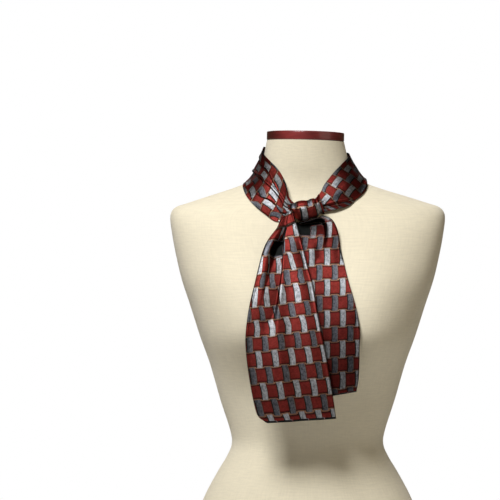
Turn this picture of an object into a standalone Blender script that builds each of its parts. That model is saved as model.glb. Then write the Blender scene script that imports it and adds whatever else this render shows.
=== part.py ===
"""A narrow silk scarf tied once at the front of a limbless linen dress form.

The scarf is one long hemmed strip. It runs round the neck, through a simple
knot and down the chest in two tails. Each stretch that shows is a thin wall,
drawn through short tables of sections and laid clear of the form. All sizes
in the tables are millimetres; x is to the viewer's right, the form faces -y,
and the flat underside of the form is at height 0.
"""
import math

import bmesh
import bpy
from mathutils import Vector

MM = 0.001

# Cloth
CLOTH_WALL = 1.2
LEAST_LIFT = 0.8
TAIL_LIFT = 3.0
SEAM_GAP = 0.3

# Dress form, from the flat underside to the top of the neck
FORM_SECTIONS = (
    # height, half width, front depth, back depth, squareness
    (0.0, 181.0, 101.0, 113.0, 2.3),
    (3.0, 184.0, 104.0, 116.0, 2.3),
    (50.0, 188.5, 108.5, 123.0, 2.3),
    (105.0, 189.5, 111.0, 126.0, 2.3),
    (160.0, 183.5, 110.0, 121.0, 2.25),
    (210.0, 172.0, 106.0, 111.0, 2.2),
    (257.0, 157.0, 101.0, 99.0, 2.15),
    (296.0, 137.0, 94.0, 87.0, 2.1),
    (322.0, 121.5, 89.0, 80.0, 2.1),
    (342.0, 113.5, 86.0, 77.0, 2.1),
    (364.0, 116.5, 87.0, 77.5, 2.1),
    (408.0, 130.7, 94.0, 84.0, 2.1),
    (461.0, 146.0, 104.0, 96.0, 2.2),
    (503.0, 161.0, 110.0, 104.0, 2.3),
    (550.0, 176.0, 110.0, 110.0, 2.5),
    (590.0, 189.0, 105.0, 113.0, 2.7),
    (632.0, 198.6, 92.0, 112.0, 2.9),
    (660.0, 203.5, 82.0, 107.0, 3.0),
    (679.0, 205.8, 73.5, 100.0, 2.9),
    (690.0, 203.5, 68.5, 94.5, 2.7),
    (697.0, 196.0, 65.5, 90.0, 2.5),
    (702.0, 181.0, 63.0, 87.0, 2.4),
    (712.0, 150.0, 58.5, 80.5, 2.2),
    (724.0, 112.0, 55.5, 72.5, 2.1),
    (734.0, 86.0, 54.5, 67.0, 2.05),
    (744.0, 73.5, 54.8, 63.5, 2.0),
    (758.0, 66.5, 56.0, 61.0, 2.0),
    (776.0, 62.0, 57.0, 59.0, 2.0),
    (795.2, 57.8, 57.8, 57.8, 2.0),
)
FORM_AROUND = 44
FORM_RINGS = 38
NECK_TOP = 795.2
NECK_LEAN_FROM = 700.0
NECK_SHIFT = -3.0
NECK_TILT = math.tan(math.radians(1.4))
SLOPE_PROBE = 0.5

# Bust, two soft lobes on the front
BUST_SIDE = 92.0
BUST_HEIGHT = 516.0
BUST_DEPTH = 42.0
BUST_SPREAD = 55.0
BUST_ABOVE = 75.0
BUST_BELOW = 42.0

# Wooden neck cap
CAP_RADIUS = 58.0
CAP_THICK = 13.2
CAP_EDGE = 1.6
CAP_AROUND = 44

# Stretch round the neck, from the knot's left end round the nape to its right end.
# The top edge lies against the neck, and the low edge lies out on the shoulder.
NECK_LOOP = (
    # top x, top y, top z, low x, low y, low z, belly
    (-17.0, -75.6, 698.0, -24.0, -77.8, 678.0, 0.5),
    (-27.5, -71.0, 707.0, -47.0, -79.0, 672.5, 2.0),
    (-30.0, -66.0, 718.0, -64.0, -76.0, 685.0, 3.5),
    (-33.0, -60.0, 730.0, -79.0, -67.0, 697.0, 4.5),
    (-39.0, -53.0, 743.0, -90.0, -54.0, 709.0, 4.0),
    (-47.0, -43.0, 755.0, -95.5, -38.0, 720.0, 1.0),
    (-56.0, -28.0, 767.0, -96.0, -14.0, 730.0, -3.0),
    (-65.0, 6.0, 782.0, -89.0, 26.0, 736.0, -2.0),
    (-57.0, 40.0, 785.0, -64.0, 54.0, 737.0, 3.0),
    (-30.0, 57.0, 786.0, -34.0, 72.0, 736.0, 3.0),
    (0.0, 63.0, 786.0, 0.0, 77.0, 735.0, 3.0),
    (28.0, 56.0, 783.0, 34.0, 72.0, 736.0, 3.0),
    (53.0, 39.0, 780.0, 62.0, 54.0, 736.0, 3.0),
    (62.5, 6.0, 776.0, 84.0, 26.0, 737.0, -1.0),
    (54.0, -27.0, 765.0, 87.0, -14.0, 733.5, -1.5),
    (44.0, -42.0, 754.0, 84.5, -40.0, 721.0, 2.5),
    (33.0, -54.0, 741.0, 76.0, -56.0, 710.0, 5.0),
    (23.0, -63.0, 728.0, 60.0, -68.0, 700.0, 4.0),
    (17.0, -69.0, 716.0, 36.0, -75.0, 694.5, 2.0),
    (8.0, -70.9, 706.0, 15.0, -73.9, 691.0, 0.5),
)
NECK_LOOP_INSIDE = 250.0
NECK_STRETCHES = (
    # node, start and end along the loop, cells across, cells along
    ("neck_left", 0.0, 0.36, 22, 18),
    ("neck_back", 0.36, 0.665, 14, 10),
    ("neck_right", 0.665, 1.0, 20, 16),
)
NECK_PLEATS = (
    # start and end along the loop, place across at each, rise of the upper fold
    (0.02, 0.40, 0.60, 0.42, 6.0),
    (0.02, 0.24, 0.34, 0.24, 3.4),
    (0.03, 0.30, 0.80, 0.70, 3.2),
    (0.36, 0.72, 0.40, 0.46, 3.6),
    (0.66, 0.98, 0.52, 0.66, 2.4),
    (0.80, 0.99, 0.14, 0.26, 4.2),
)
PLEAT_EDGE = 0.035
PLEAT_FADE = 0.34
PLEAT_STARTS_OVER = 0.15
PLEAT_ENDS_OVER = 0.2

# Front tail, from the knot to its hem
FRONT_TAIL = (
    # left x, left y, left z, right x, right y, right z, ripple, valley
    (-31.0, -97.2, 688.0, -23.5, -100.7, 691.0, 0.2, 0.0),
    (-41.0, -102.0, 677.0, -20.5, -107.0, 677.5, 0.6, 2.0),
    (-50.0, -107.0, 664.0, -17.0, -111.0, 666.0, 1.0, 8.0),
    (-60.0, -115.0, 648.0, -13.0, -115.0, 652.0, 1.5, 14.0),
    (-68.0, -122.0, 630.0, -9.0, -121.0, 636.0, 1.5, 17.0),
    (-76.0, -132.0, 599.0, -2.0, -129.0, 607.0, 1.5, 14.0),
    (-81.0, -139.0, 577.0, 4.0, -136.0, 586.0, 1.5, 9.0),
    (-86.5, -146.0, 554.0, 8.5, -142.0, 562.0, 1.5, 6.0),
    (-90.5, -150.0, 532.0, 12.0, -147.0, 541.0, 2.0, 4.0),
    (-93.0, -153.0, 505.0, 17.0, -152.0, 514.0, 2.5, 2.5),
    (-92.0, -154.0, 482.0, 21.5, -154.0, 491.0, 3.0, 2.0),
    (-89.0, -154.0, 457.0, 26.0, -155.0, 466.0, 3.0, 2.0),
    (-84.5, -153.0, 430.0, 30.5, -155.5, 439.0, 3.5, 2.0),
    (-78.5, -152.0, 402.0, 35.0, -156.0, 410.0, 3.5, 2.0),
    (-71.0, -151.0, 384.0, 38.5, -156.0, 388.0, 3.5, 2.0),
)
FRONT_TAIL_FOLD = (
    # across the cloth, across the tail when folded, share of the valley
    (0.00, 0.00, -0.10),
    (0.09, 0.13, 0.06),
    (0.18, 0.235, -0.02),
    (0.24, 0.270, -0.60),
    (0.31, 0.350, -1.00),
    (0.38, 0.440, -0.62),
    (0.44, 0.500, -0.05),
    (0.56, 0.600, 0.05),
    (0.72, 0.730, -0.16),
    (0.86, 0.865, 0.04),
    (1.00, 1.000, -0.06),
)
FOLD_DEEP = 15.0
FRONT_TAIL_CELLS = (24, 24)

# Back tail, from behind the knot to its hem
BACK_TAIL = (
    # left x, left y, left z, right x, right y, right z, ripple
    (-15.0, -84.0, 670.8, 21.0, -85.0, 682.9, 0.0),
    (-18.0, -86.0, 667.0, 31.5, -90.0, 679.0, 0.5),
    (-20.0, -89.0, 661.0, 38.5, -96.0, 670.5, 1.0),
    (-21.0, -95.0, 650.0, 43.5, -101.0, 655.0, 2.0),
    (-22.0, -102.0, 632.0, 46.0, -107.0, 636.0, 2.0),
    (-24.0, -111.0, 606.0, 51.5, -117.0, 609.0, 2.0),
    (-26.0, -120.0, 582.0, 57.0, -128.0, 586.0, 2.0),
    (-32.0, -129.0, 556.0, 64.5, -139.0, 560.0, 2.0),
    (-37.0, -136.0, 531.0, 70.0, -146.0, 536.0, 2.0),
    (-41.0, -140.0, 506.0, 73.0, -150.0, 512.0, 2.0),
    (-42.0, -141.0, 481.0, 72.0, -152.0, 488.0, 2.5),
    (-43.0, -141.0, 455.0, 71.5, -153.0, 463.0, 3.0),
    (-43.0, -141.0, 430.0, 70.5, -153.0, 444.0, 3.0),
    (-43.0, -141.0, 408.0, 67.5, -153.0, 427.0, 3.0),
)
BACK_TAIL_CELLS = (16, 20)

# Ripples that run down each tail
RIPPLES = (
    # place across, half width, depth against the row's ripple
    (0.10, 0.07, -0.7),
    (0.37, 0.09, 0.8),
    (0.58, 0.08, -0.6),
    (0.80, 0.09, 0.9),
)

# Knot, a barrel of cloth lying across the throat, from the viewer's left to right
KNOT_BARREL = (
    # x, middle y, middle z, radius of the band, lean of the ring to the left
    (-28.5, -86.0, 690.0, 5.5, 0.00),
    (-26.5, -87.0, 690.0, 9.5, 0.00),
    (-21.5, -88.0, 689.5, 13.2, 0.05),
    (-13.0, -88.5, 689.0, 15.2, 0.10),
    (-3.0, -88.5, 690.5, 15.0, 0.18),
    (6.0, -88.0, 693.0, 14.3, 0.24),
    (13.5, -87.0, 696.5, 13.6, 0.30),
    (19.0, -86.0, 699.5, 13.4, 0.30),
)
KNOT_TURN_FROM = math.radians(-118.0)
KNOT_TURN_TO = math.radians(150.0)
KNOT_CREASES = (
    # share of the barrel's length, half width, depth
    (0.30, 0.045, 1.8),
    (0.62, 0.045, 1.3),
    (0.86, 0.035, 2.2),
)
KNOT_BAND_CELLS = (20, 20)
KNOT_CORE_CELLS = (12, 18)
KNOT_CORE_ENDS = (0.10, 0.88)

MATERIALS = {
    "printed_silk": ((0.32, 0.05, 0.06), 0.42),
    "natural_linen": ((0.80, 0.76, 0.63), 0.85),
    "stained_wood": ((0.16, 0.03, 0.03), 0.30),
}


def clear_scene():
    for item in list(bpy.data.objects):
        bpy.data.objects.remove(item, do_unlink=True)


def material(name):
    """Principled material with the part's colour and roughness."""
    colour, roughness = MATERIALS[name]
    made = bpy.data.materials.get(name) or bpy.data.materials.new(name)
    made.use_nodes = True
    shader = made.node_tree.nodes["Principled BSDF"]
    shader.inputs["Base Color"].default_value = (*colour, 1.0)
    shader.inputs["Roughness"].default_value = roughness
    made.diffuse_color = (*colour, 1.0)
    return made


def clamp(value, low=0.0, high=1.0):
    return max(low, min(high, value))


def smooth_step(value):
    value = clamp(value)
    return value * value * (3.0 - 2.0 * value)


def through(before, start, end, after, part):
    """Value on the Catmull-Rom curve between start and end."""
    slope_in = (end - before) / 2.0
    slope_out = (after - start) / 2.0
    rise = end - start
    square = 3.0 * rise - 2.0 * slope_in - slope_out
    cube = slope_in + slope_out - 2.0 * rise
    return start + part * (slope_in + part * (square + part * cube))


def row_at(table, position):
    """Row of a table at a position from 0, its first row, to 1, its last."""
    last = len(table) - 1
    place = clamp(position) * last
    index = min(int(place), last - 1)
    rows = [table[clamp(index + step, 0, last)] for step in (-1, 0, 1, 2)]
    return [through(*column, place - index) for column in zip(*rows)]


def value_at(table, key, column):
    """Value in a column of a table whose first column rises, at a key."""
    for index in range(len(table) - 1):
        if key <= table[index + 1][0] or index == len(table) - 2:
            span = table[index + 1][0] - table[index][0]
            part = clamp((key - table[index][0]) / span)
            return row_at(table, (index + part) / (len(table) - 1))[column]


def form_lookup():
    """Sections of the form at every whole millimetre of height."""
    steps = 4 * int(NECK_TOP)  # four rows of the curve for each millimetre
    rows = [row_at(FORM_SECTIONS, step / steps) for step in range(steps + 1)]
    found = []
    index = 0
    for height in range(int(NECK_TOP) + 1):
        while rows[index + 1][0] < height:
            index += 1
        found.append(rows[index][1:])
    return found


FORM_BY_HEIGHT = form_lookup()


def form_section(height):
    """Half width, front depth, back depth and squareness at a height."""
    height = clamp(height, 0.0, len(FORM_BY_HEIGHT) - 1.001)
    index = int(height)
    part = height - index
    low = FORM_BY_HEIGHT[index]
    high = FORM_BY_HEIGHT[index + 1]
    return [a + (b - a) * part for a, b in zip(low, high)]


def bust(x, height):
    """Forward swell of the two lobes at a place on the front."""
    spread = BUST_ABOVE if height > BUST_HEIGHT else BUST_BELOW
    rise = math.exp(-0.5 * ((height - BUST_HEIGHT) / spread) ** 2)
    left = math.exp(-0.5 * ((x + BUST_SIDE) / BUST_SPREAD) ** 2)
    right = math.exp(-0.5 * ((x - BUST_SIDE) / BUST_SPREAD) ** 2)
    return BUST_DEPTH * rise * (left + right)


def neck_lean(height):
    """Share of the neck's small shift and tilt at a height."""
    return smooth_step((height - NECK_LEAN_FROM) / (NECK_TOP - NECK_LEAN_FROM))


def form_point(row, turn):
    """Point on the form: turn runs once round from the back."""
    height, width, front, back, power = row
    across = math.sin(turn)
    along = math.cos(turn)
    x = width * math.copysign(abs(across) ** (2.0 / power), across)
    depth = back if along > 0.0 else front
    y = depth * math.copysign(abs(along) ** (2.0 / power), along)
    if along < 0.0:
        y -= bust(x, height) * smooth_step(-2.0 * along)
    lean = neck_lean(height)
    return Vector((x + NECK_SHIFT * lean, y, height - x * NECK_TILT * lean))


def form_measure(point):
    """Distance outside the form as a share of its size there."""
    lean = neck_lean(point.z)
    x = point.x - NECK_SHIFT * lean
    height = point.z + x * NECK_TILT * lean
    width, front, back, power = form_section(height)
    if point.y < 0.0:
        y = min(point.y + bust(x, height), 0.0) / front
    else:
        y = point.y / back
    return (abs(x / width) ** power + abs(y) ** power) ** (1.0 / power) - 1.0


def off_form(point, lift):
    """The point, moved out until it is at least a lift from the form."""
    point = Vector(point)
    probes = [Vector(axis) * SLOPE_PROBE for axis in ((1, 0, 0), (0, 1, 0), (0, 0, 1))]
    for _ in range(3):
        here = form_measure(point)
        rises = [form_measure(point + probe) - here for probe in probes]
        slope = Vector(rises) / SLOPE_PROBE
        steep = slope.length
        if steep < 1e-6 or here / steep >= lift:
            break
        point += slope / steep * (lift - here / steep)
    return point


def add_object(name, shape, finish):
    mesh = bpy.data.meshes.new(name)
    shape.to_mesh(mesh)
    shape.free()
    made = bpy.data.objects.new(name, mesh)
    bpy.context.scene.collection.objects.link(made)
    mesh.materials.append(material(finish))
    mesh.shade_smooth()
    mesh.set_sharp_from_angle(angle=math.radians(50.0))
    return made


def grid_shape(place, across, along):
    """Grid of cells, its corners put where place(u, v) says."""
    shape = bmesh.new()
    bmesh.ops.create_grid(shape, x_segments=across, y_segments=along, size=0.5)
    for corner in shape.verts:
        corner.co = place(corner.co.x + 0.5, corner.co.y + 0.5) * MM
    return shape


def wall(name, place, across, along):
    """Cloth wall whose outer face is the surface place(u, v)."""
    made = add_object(name, grid_shape(place, across, along), "printed_silk")
    thick = made.modifiers.new("thickness", "SOLIDIFY")
    thick.thickness = CLOTH_WALL * MM
    thick.offset = -1.0
    thick.use_even_offset = False


def build_form():
    def place(u, v):
        return form_point(row_at(FORM_SECTIONS, v), 2.0 * math.pi * u)

    shape = grid_shape(place, FORM_AROUND, FORM_RINGS)
    bmesh.ops.remove_doubles(shape, verts=shape.verts, dist=0.01 * MM)
    bmesh.ops.holes_fill(shape, edges=shape.edges, sides=0)
    bmesh.ops.recalc_face_normals(shape, faces=shape.faces)
    add_object("form_torso", shape, "natural_linen")


def build_cap():
    shape = bmesh.new()
    bmesh.ops.create_cone(
        shape, cap_ends=True, segments=CAP_AROUND, radius1=CAP_RADIUS * MM,
        radius2=CAP_RADIUS * MM, depth=CAP_THICK * MM)
    rims = [edge for edge in shape.edges
            if abs(edge.verts[0].co.z - edge.verts[1].co.z) < 0.1 * MM]
    bmesh.ops.bevel(
        shape, geom=rims, offset=CAP_EDGE * MM, offset_type="OFFSET",
        segments=2, profile=0.5, affect="EDGES", material=-1)
    cap = add_object("neck_cap", shape, "stained_wood")
    cap.location = (NECK_SHIFT * MM, 0.0,
                    (NECK_TOP + SEAM_GAP + CAP_THICK / 2.0) * MM)
    cap.rotation_euler = (0.0, math.atan(NECK_TILT), 0.0)


def pleat_height(across, along):
    """Height of the neck stretch's folds: each rises sharply, then fades."""
    height = 0.0
    for start, end, place_start, place_end, rise in NECK_PLEATS:
        part = (along - start) / (end - start)
        if not 0.0 < part < 1.0:
            continue
        edge = place_start + (place_end - place_start) * part
        grow = smooth_step(part / PLEAT_STARTS_OVER)
        grow *= smooth_step((1.0 - part) / PLEAT_ENDS_OVER)
        away = across - edge
        lifted = smooth_step(0.5 + away / (2.0 * PLEAT_EDGE))
        height += rise * grow * lifted * math.exp(-max(away, 0.0) / PLEAT_FADE)
    return height


def neck_point(across, along):
    """Outer face of the stretch round the neck: across is 0 at its low edge."""
    row = row_at(NECK_LOOP, along)
    ahead = row_at(NECK_LOOP, min(along + 0.01, 1.0))
    behind = row_at(NECK_LOOP, max(along - 0.01, 0.0))
    top = Vector(row[0:3])
    low = Vector(row[3:6])
    middle_ahead = (Vector(ahead[0:3]) + Vector(ahead[3:6])) / 2.0
    middle_behind = (Vector(behind[0:3]) + Vector(behind[3:6])) / 2.0
    outward = (middle_ahead - middle_behind).cross(low - top).normalized()
    crown = row[6] * (1.0 - (2.0 * across - 1.0) ** 2)
    point = low.lerp(top, across)
    point += outward * (crown + pleat_height(across, along))
    return off_form(point, LEAST_LIFT + CLOTH_WALL)


def build_neck():
    trim = SEAM_GAP / 2.0 / NECK_LOOP_INSIDE
    for name, start, end, across, along in NECK_STRETCHES:
        first = start + trim
        stretch = end - start - 2.0 * trim

        def place(u, v, first=first, stretch=stretch):
            return neck_point(u, first + stretch * v)

        wall(name, place, across, along)


def ripple(across, depth):
    """Soft troughs and ridges that run down a tail."""
    height = 0.0
    for place, half_width, share in RIPPLES:
        height += share * math.exp(-0.5 * ((across - place) / half_width) ** 2)
    return depth * height


def tail_point(table, fold, across, along):
    """Outer face of a tail: across is 0 at its left edge."""
    row = row_at(table, along)
    left = Vector(row[0:3])
    right = Vector(row[3:6])
    place = across
    height = ripple(across, row[6])
    if fold:
        valley = row[7]
        folded = clamp(valley / FOLD_DEEP)
        place += (value_at(fold, across, 1) - across) * folded
        height += value_at(fold, across, 2) * valley
    point = left.lerp(right, place)
    point.y -= height
    return off_form(point, TAIL_LIFT + CLOTH_WALL)


def build_tails():
    def front(u, v):
        return tail_point(FRONT_TAIL, FRONT_TAIL_FOLD, u, 1.0 - v)

    def back(u, v):
        return tail_point(BACK_TAIL, None, u, 1.0 - v)

    wall("front_tail", front, *FRONT_TAIL_CELLS)
    wall("back_tail", back, *BACK_TAIL_CELLS)


def knot_point(part, turn, inset):
    """Point on the knot: turn 0 faces the viewer, and turns upwards from there."""
    x, y, z, radius, lean = row_at(KNOT_BARREL, part)
    for place, half_width, depth in KNOT_CREASES:
        radius -= depth * math.exp(-0.5 * ((part - place) / half_width) ** 2)
    radius -= inset
    rise = radius * math.sin(turn)
    return Vector((x - lean * rise, y - radius * math.cos(turn), z + rise))


def build_knot():
    def band(u, v):
        return knot_point(u, KNOT_TURN_FROM + (KNOT_TURN_TO - KNOT_TURN_FROM) * v, 0.0)

    wall("knot_band", band, *KNOT_BAND_CELLS)

    first, last = KNOT_CORE_ENDS

    def core(u, v):
        part = first + (last - first) * u
        rim = knot_point(part, 2.0 * math.pi * v, CLOTH_WALL + 2.0 * SEAM_GAP)
        axis = Vector(row_at(KNOT_BARREL, part)[0:3])
        fill = math.sqrt(max(0.0, 1.0 - (2.0 * u - 1.0) ** 6))
        return axis.lerp(rim, fill)

    shape = grid_shape(core, *KNOT_CORE_CELLS)
    bmesh.ops.remove_doubles(shape, verts=shape.verts, dist=0.01 * MM)
    bmesh.ops.recalc_face_normals(shape, faces=shape.faces)
    add_object("knot_core", shape, "printed_silk")


def main():
    clear_scene()
    build_form()
    build_cap()
    build_neck()
    build_knot()
    build_tails()


main()
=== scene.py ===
"""The dressed look of a narrow silk scarf, tied once on a limbless linen dress form.

Sizes in the tables are millimetres; x is to the viewer's right, the form faces -y,
and the flat underside of the form is at height 0. A piece's UV map is real cloth,
in metres: U across the cloth and V along it.
"""

import math

import bmesh
import bpy
from mathutils import Matrix, Vector


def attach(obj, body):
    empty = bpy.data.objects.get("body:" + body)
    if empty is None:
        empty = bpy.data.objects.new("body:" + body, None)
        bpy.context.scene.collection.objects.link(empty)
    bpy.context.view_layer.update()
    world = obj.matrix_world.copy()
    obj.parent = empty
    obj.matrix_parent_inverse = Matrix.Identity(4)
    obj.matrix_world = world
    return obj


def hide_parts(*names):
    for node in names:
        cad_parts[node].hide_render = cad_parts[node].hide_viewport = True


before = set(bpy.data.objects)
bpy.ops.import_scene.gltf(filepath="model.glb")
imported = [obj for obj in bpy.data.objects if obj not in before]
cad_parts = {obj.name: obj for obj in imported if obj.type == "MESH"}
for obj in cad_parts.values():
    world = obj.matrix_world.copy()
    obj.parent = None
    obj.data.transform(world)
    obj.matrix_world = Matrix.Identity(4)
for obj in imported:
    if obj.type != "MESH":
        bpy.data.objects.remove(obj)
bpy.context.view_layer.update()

MM = 0.001

# Form and cloth tables

CLOTH_WALL = 1.2  # wall of the cloth's solids, whose outer side the shells follow
CLOTH_THICK = 0.5
NECK_THICK = 0.35  # the neck stretch's shell, whose folds lie close
NECK_LIFT = 0.8  # gap under the wall of the neck stretch
TAIL_LIFT = 3.0  # gap under the wall of a tail
SEAM_GAP = 0.3

FORM_SECTIONS = (
    # height, half width, front depth, back depth, squareness
    (0, 181, 101, 113, 2.3),
    (3, 184, 104, 116, 2.3),
    (50, 188.5, 108.5, 123, 2.3),
    (105, 189.5, 111, 126, 2.3),
    (160, 183.5, 110, 121, 2.25),
    (210, 172, 106, 111, 2.2),
    (257, 157, 101, 99, 2.15),
    (296, 137, 94, 87, 2.1),
    (322, 121.5, 89, 80, 2.1),
    (342, 113.5, 86, 77, 2.1),
    (364, 116.5, 87, 77.5, 2.1),
    (408, 130.7, 94, 84, 2.1),
    (461, 146, 104, 96, 2.2),
    (503, 161, 110, 104, 2.3),
    (550, 176, 110, 110, 2.5),
    (590, 189, 105, 113, 2.7),
    (632, 198.6, 92, 112, 2.9),
    (660, 203.5, 82, 107, 3),
    (679, 205.8, 73.5, 100, 2.9),
    (690, 203.5, 68.5, 94.5, 2.7),
    (697, 196, 65.5, 90, 2.5),
    (702, 181, 63, 87, 2.4),
    (712, 150, 58.5, 80.5, 2.2),
    (724, 112, 55.5, 72.5, 2.1),
    (734, 86, 54.5, 67, 2.05),
    (744, 73.5, 54.8, 63.5, 2),
    (758, 66.5, 56, 61, 2),
    (776, 62, 57, 59, 2),
    (795.2, 57.8, 57.8, 57.8, 2),
)
NECK_TOP = 795.2
NECK_LEAN_FROM = 700.0  # height at which the neck begins to shift and tilt
NECK_SHIFT = -3.0
NECK_TILT = math.tan(math.radians(1.4))
FORM_CELLS = (144, 180)  # round the form, and up it
LINEN_ROUND = 1000.0  # width of linen that goes once round the form
SLOPE_PROBE = 0.5  # step that the slope away from the form is measured with

BUST_SIDE = 92.0
BUST_HEIGHT = 516.0
BUST_DEPTH = 42.0
BUST_SPREAD = 55.0  # half widths of the swell: to its sides, above and below it
BUST_ABOVE = 75.0
BUST_BELOW = 42.0

CAP_RADIUS = 58.0
CAP_THICK = 13.2
CAP_EDGE = 1.6
CAP_SIDES = 128
CAP_PAINTED_HIGHLIGHT = (-22.0, 16.0)  # x of the painted highlight band on the wood, and its half width
CAP_PAINTED_SHADE = (-46.0, 12.0)  # x left of which the wood is darker as painted shade, and how softly

NECK_LOOP = (
    # top x, top y, top z, low x, low y, low z, belly
    (-17, -75.6, 698, -24, -77.8, 678, 0.5),
    (-27.5, -71, 707, -47, -79, 672.5, 2),
    (-30, -66, 718, -64, -76, 685, 3.5),
    (-33, -60, 730, -79, -67, 697, 4.5),
    (-39, -53, 743, -90, -54, 709, 4),
    (-47, -43, 755, -95.5, -38, 720, 1),
    (-56, -28, 767, -96, -14, 730, -3),
    (-65, 6, 785, -89, 26, 736, -2),
    (-57, 40, 787, -64, 54, 737, 3),
    (-30, 57, 786, -34, 72, 736, 3),
    (0, 63, 786, 0, 77, 735, 3),
    (28, 56, 783, 34, 72, 736, 3),
    (53, 39, 780, 62, 54, 736, 3),
    (62.5, 6, 776, 84, 26, 737, -1),
    (54, -27, 765, 87, -14, 733.5, -1.5),
    (44, -42, 754, 84.5, -40, 721, 2.5),
    (33, -54, 741, 76, -56, 710, 5),
    (23, -63, 728, 60, -68, 700, 4),
    (17, -69, 716, 36, -75, 694.5, 2),
    (8, -70.9, 706, 15, -73.9, 691, 0.5),
)
NECK_CELLS = (138, 240)  # across the stretch, and along it
NECK_FOLD_INNER = (
    # along the loop, place across of the folded edge, overlap, how far it is folded
    (0.000, 0.80, 3.0, 0.5),
    (0.050, 0.75, 4.3, 1.0),
    (0.083, 0.72, 4.3, 1.0),
    (0.115, 0.70, 4.3, 1.0),
    (0.149, 0.70, 4.3, 1.0),
    (0.196, 0.73, 4.3, 1.0),
    (0.248, 0.76, 4.3, 1.0),
    (0.284, 0.75, 4.3, 1.0),
    (0.315, 0.73, 4.3, 1.0),
    (0.400, 0.68, 3.0, 0.6),
    (0.460, 0.66, 2.0, 0.0),
    (1.000, 0.66, 2.0, 0.0),
)
NECK_FOLD_MAIN = (
    (0.000, 0.62, 5.0, 0.7),
    (0.041, 0.65, 8.6, 1.0),
    (0.106, 0.64, 8.6, 1.0),
    (0.142, 0.62, 8.6, 1.0),
    (0.176, 0.60, 8.6, 1.0),
    (0.216, 0.55, 8.6, 1.0),
    (0.268, 0.52, 8.6, 1.0),
    (0.315, 0.43, 9.0, 1.0),
    (0.360, 0.31, 12.0, 1.0),
    (0.400, 0.15, 18.0, 1.0),
    (0.440, 0.03, 24.0, 1.0),
    (0.480, 0.00, 28.0, 1.0),
    (0.800, 0.00, 26.0, 1.0),
    (0.850, 0.02, 22.0, 1.0),
    (0.863, 0.04, 20.0, 1.0),
    (0.892, 0.09, 16.0, 1.0),
    (0.920, 0.15, 12.0, 1.0),
    (0.945, 0.16, 9.0, 1.0),
    (1.000, 0.20, 5.0, 0.7),
)
NECK_FOLD_OUTER = (
    (0.000, 0.36, 3.0, 0.6),
    (0.070, 0.38, 5.0, 1.0),
    (0.095, 0.40, 5.0, 1.0),
    (0.122, 0.39, 5.0, 1.0),
    (0.142, 0.34, 5.0, 1.0),
    (0.164, 0.27, 4.0, 1.0),
    (0.185, 0.22, 2.5, 0.6),
    (0.220, 0.18, 1.5, 0.0),
    (0.360, 0.16, 1.5, 0.0),
    (0.480, 0.26, 1.5, 0.0),
    (0.800, 0.24, 1.5, 0.0),
    (0.900, 0.08, 1.0, 0.0),
    (1.000, 0.08, 1.0, 0.0),
)
FOLD_SHAPE = (
    # share of the overlap, shift, share of the rise, share of the puff, shift when flat
    (0.0, 5.0, 1.00, 0.45, 5.0),
    (0.0, 2.4, 1.00, 1.00, 3.7),
    (0.0, 0.7, 0.90, 0.85, 2.6),
    (0.0, 0.0, 0.68, 0.45, 1.6),
    (0.0, 0.6, 0.52, 0.10, 0.6),
    (0.5, 0.5, 0.50, 0.00, -0.4),
    (1.0, 0.2, 0.47, 0.00, -1.4),
    (1.0, 0.8, 0.26, 0.00, -2.4),
    (1.0, 0.2, 0.05, 0.00, -3.4),
    (0.5, 0.0, 0.00, 0.00, -4.4),
    (0.0, 0.0, 0.00, 0.00, -5.4),
)
FOLD_RISE = 1.9  # two layers of cloth and the air between them
FOLD_PUFF = 1.3
RUN_PUFF = 0.45  # share of the puff on the run of cloth down to a fold
RUN_START = 1.0  # the run begins this far past the fold before
RUN_END = 5.0  # and ends this far before the folded edge
RUN_STEPS = 4
FOLD_SETTLES = (2.0, 13.0, 0.25)  # how far past the overlap, over what length, to what share
NECK_FOLDS = (
    # table of the fold, share of the puff
    (NECK_FOLD_INNER, 0.8),
    (NECK_FOLD_MAIN, 1.0),
    (NECK_FOLD_OUTER, 0.6),
)
FOLD_CALM = (0.45, 0.06)  # how open folds are at both ends, and over what share
NECK_TURN_UNDER = (
    # along the loop, how far the low edge is turned under
    (0.00, 1.0),
    (0.34, 1.0),
    (0.44, 0.0),
    (0.82, 0.0),
    (0.90, 1.0),
    (1.00, 1.0),
)
TURN_RUN = (4.0, 2)  # the last run ends this far from the low edge, and its steps
TURN_SHAPE = (
    # shift across, height, shift when flat
    (3.0, 0.00, 12.0),
    (0.8, -0.05, 9.5),
    (-0.1, -0.45, 7.5),
    (0.6, -0.95, 5.5),
    (3.0, -1.15, 4.0),
    (9.0, -1.20, 2.0),
)
FRONT_TAIL = (
    # left x, left y, left z, right x, right y, right z, ripple, valley
    (-31, -97.2, 688, -23.5, -100.7, 691, 0.2, 0),
    (-41, -103.5, 677, -20.5, -107.5, 677.5, 0.4, 2),
    (-47.5, -108.5, 664, -17, -111.5, 666, 0.2, 2.5),
    (-59.5, -114.5, 648, -13, -115.5, 652, 0.2, 8.5),
    (-68, -121, 630, -9, -121, 636, 0.4, 20),
    (-76, -132, 599, -2, -129, 607, 0.7, 16),
    (-81, -139, 577, 4, -136, 586, 1.1, 11),
    (-86.5, -146, 554, 8.5, -142, 562, 1.5, 8),
    (-90.5, -150, 532, 12, -147, 541, 2, 5),
    (-93, -153.5, 505, 17, -152.5, 514, 2.5, 2.5),
    (-92, -156, 482, 21.5, -155.5, 491, 3, 2),
    (-89, -158, 457, 26, -158, 466, 3, 2),
    (-84.5, -159.5, 430, 30.5, -159.5, 439, 3.5, 2),
    (-78.5, -158.5, 402, 35, -159, 410, 3, 2),
    (-71, -153, 381, 38, -155, 388.5, 3.5, 2),
)
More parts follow.
